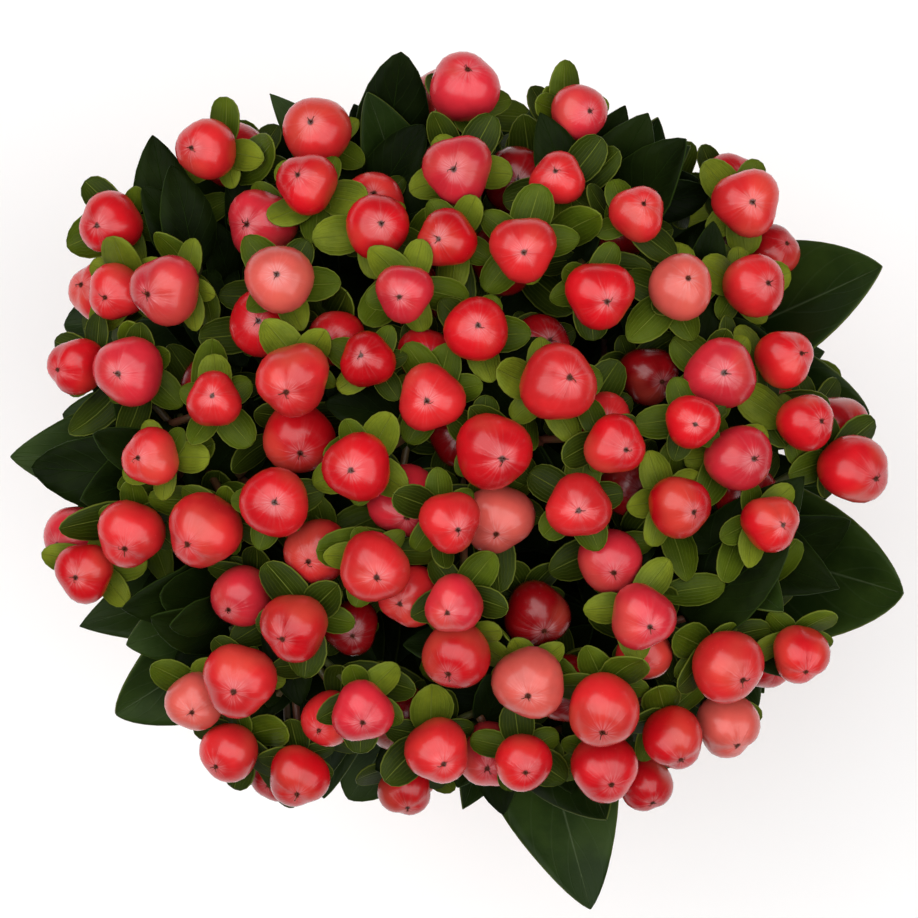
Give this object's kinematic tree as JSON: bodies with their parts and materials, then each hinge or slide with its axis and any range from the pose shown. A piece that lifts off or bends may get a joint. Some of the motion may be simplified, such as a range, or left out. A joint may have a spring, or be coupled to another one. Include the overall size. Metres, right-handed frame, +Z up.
{
  "type": "potted st johns wort",
  "caption": "Small potted shrub in fruit: a clump of woody stems in a round clay pot, with opposite leaves and a domed crown of glossy coral berries.",
  "frame": {"origin": "centre of the pot's flat underside, on the surface that the plant stands on", "axes": "+Z up along the pot's axis; +Y towards the top of the picture, which looks straight down"},
  "size_m": [0.1692, 0.1717, 0.2807],
  "materials": {
    "clay": "matte unglazed clay",
    "soil": "rough",
    "wood": "rough bark",
    "foliage": "satin",
    "leaf": "satin",
    "sepal": "satin",
    "berry": "glossy",
    "style": "matte"
  },
  "bodies": {
    "root": {"pot": "clay", "soil": "soil", "stem_01": "wood", "stem_02": "wood", "stem_03": "wood", "stem_04": "wood", "stem_05": "wood", "stem_06": "wood", "stem_07": "wood", "stem_08": "wood", "stem_09": "wood", "head_01": "foliage", "head_02": "foliage", "head_03": "foliage", "head_04": "foliage", "head_05": "foliage", "head_06": "foliage", "head_07": "foliage", "head_08": "foliage", "head_09": "foliage"}
  },
  "joints": []
}
